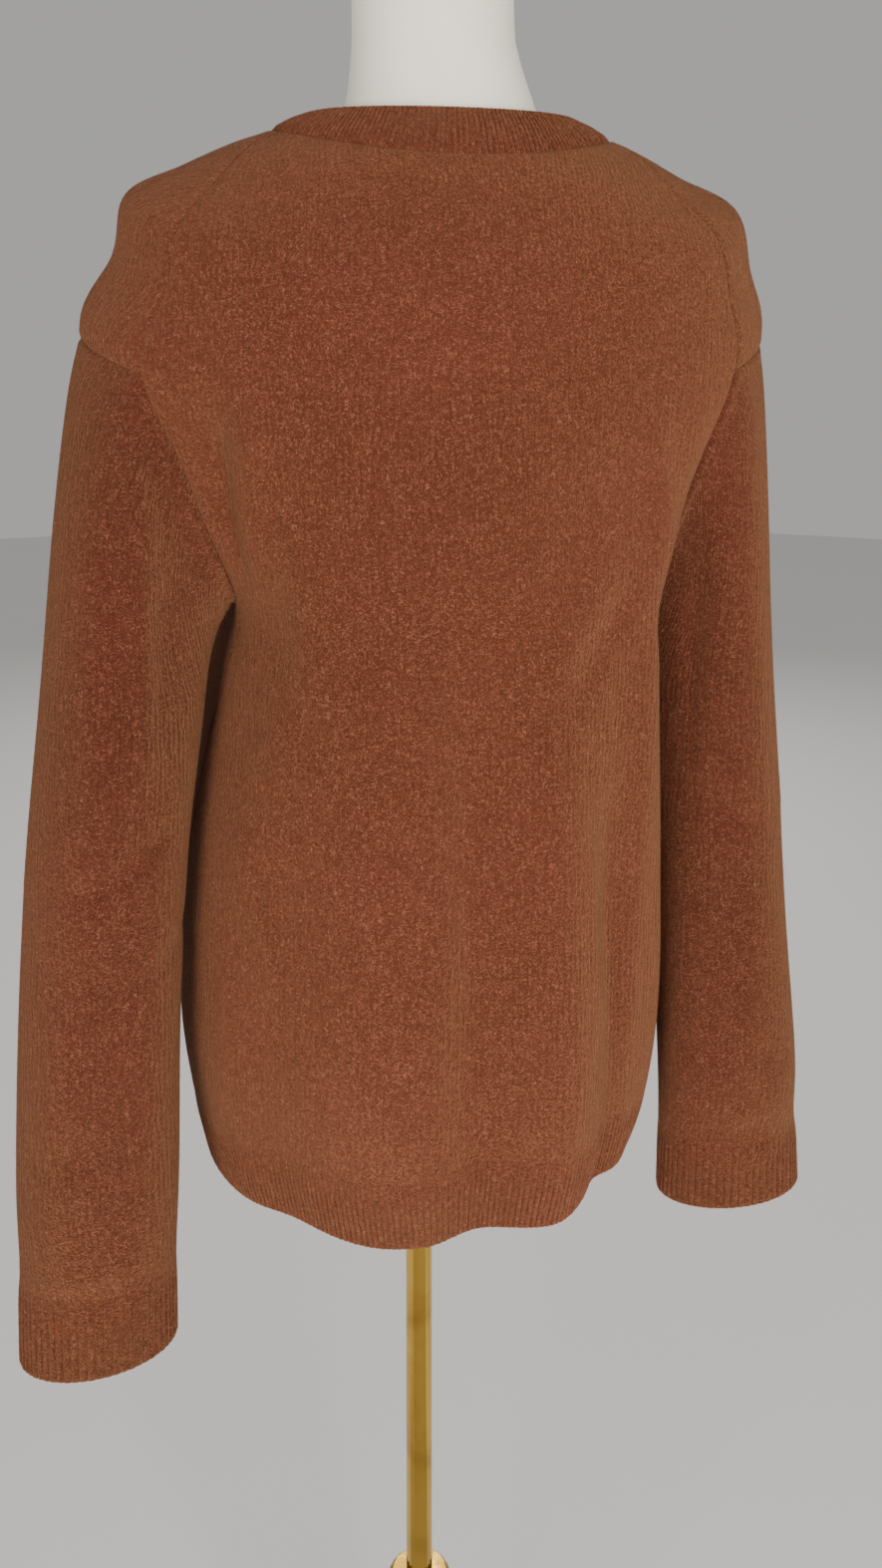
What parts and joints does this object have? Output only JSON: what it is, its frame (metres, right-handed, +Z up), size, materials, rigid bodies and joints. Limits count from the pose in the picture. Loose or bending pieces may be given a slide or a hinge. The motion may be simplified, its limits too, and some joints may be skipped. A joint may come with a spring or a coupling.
{
  "type": "crewneck sweater on a limbless dress form with a pole stand",
  "caption": "Knitted crewneck sweater with dropped shoulders and ribbed collar, hem and cuffs, hanging hollow on a smooth limbless dress form with a pole and a round base.",
  "frame": {"origin": "centre of the base plate's underside, on the floor", "axes": "+Z up along the pole, -Y towards the wearer's front, +X towards the wearer's left"},
  "size_m": [0.5363, 0.32, 1.464],
  "materials": {
    "knit_body": "brushed heathered wool knit",
    "knit_rib": "ribbed heathered wool knit",
    "form_cover": "smooth matte white",
    "brass": "polished"
  },
  "bodies": {
    "root": {"back_panel": "knit_body", "front_panel": "knit_body", "sleeve_left": "knit_body", "sleeve_right": "knit_body", "collar_rib": "knit_rib", "hem_rib_back": "knit_rib", "hem_rib_front": "knit_rib", "cuff_rib_left": "knit_rib", "cuff_rib_right": "knit_rib", "form_torso": "form_cover", "pole": "brass", "pole_collar": "brass", "lower_tube": "brass", "base_plate": "brass"}
  },
  "joints": []
}
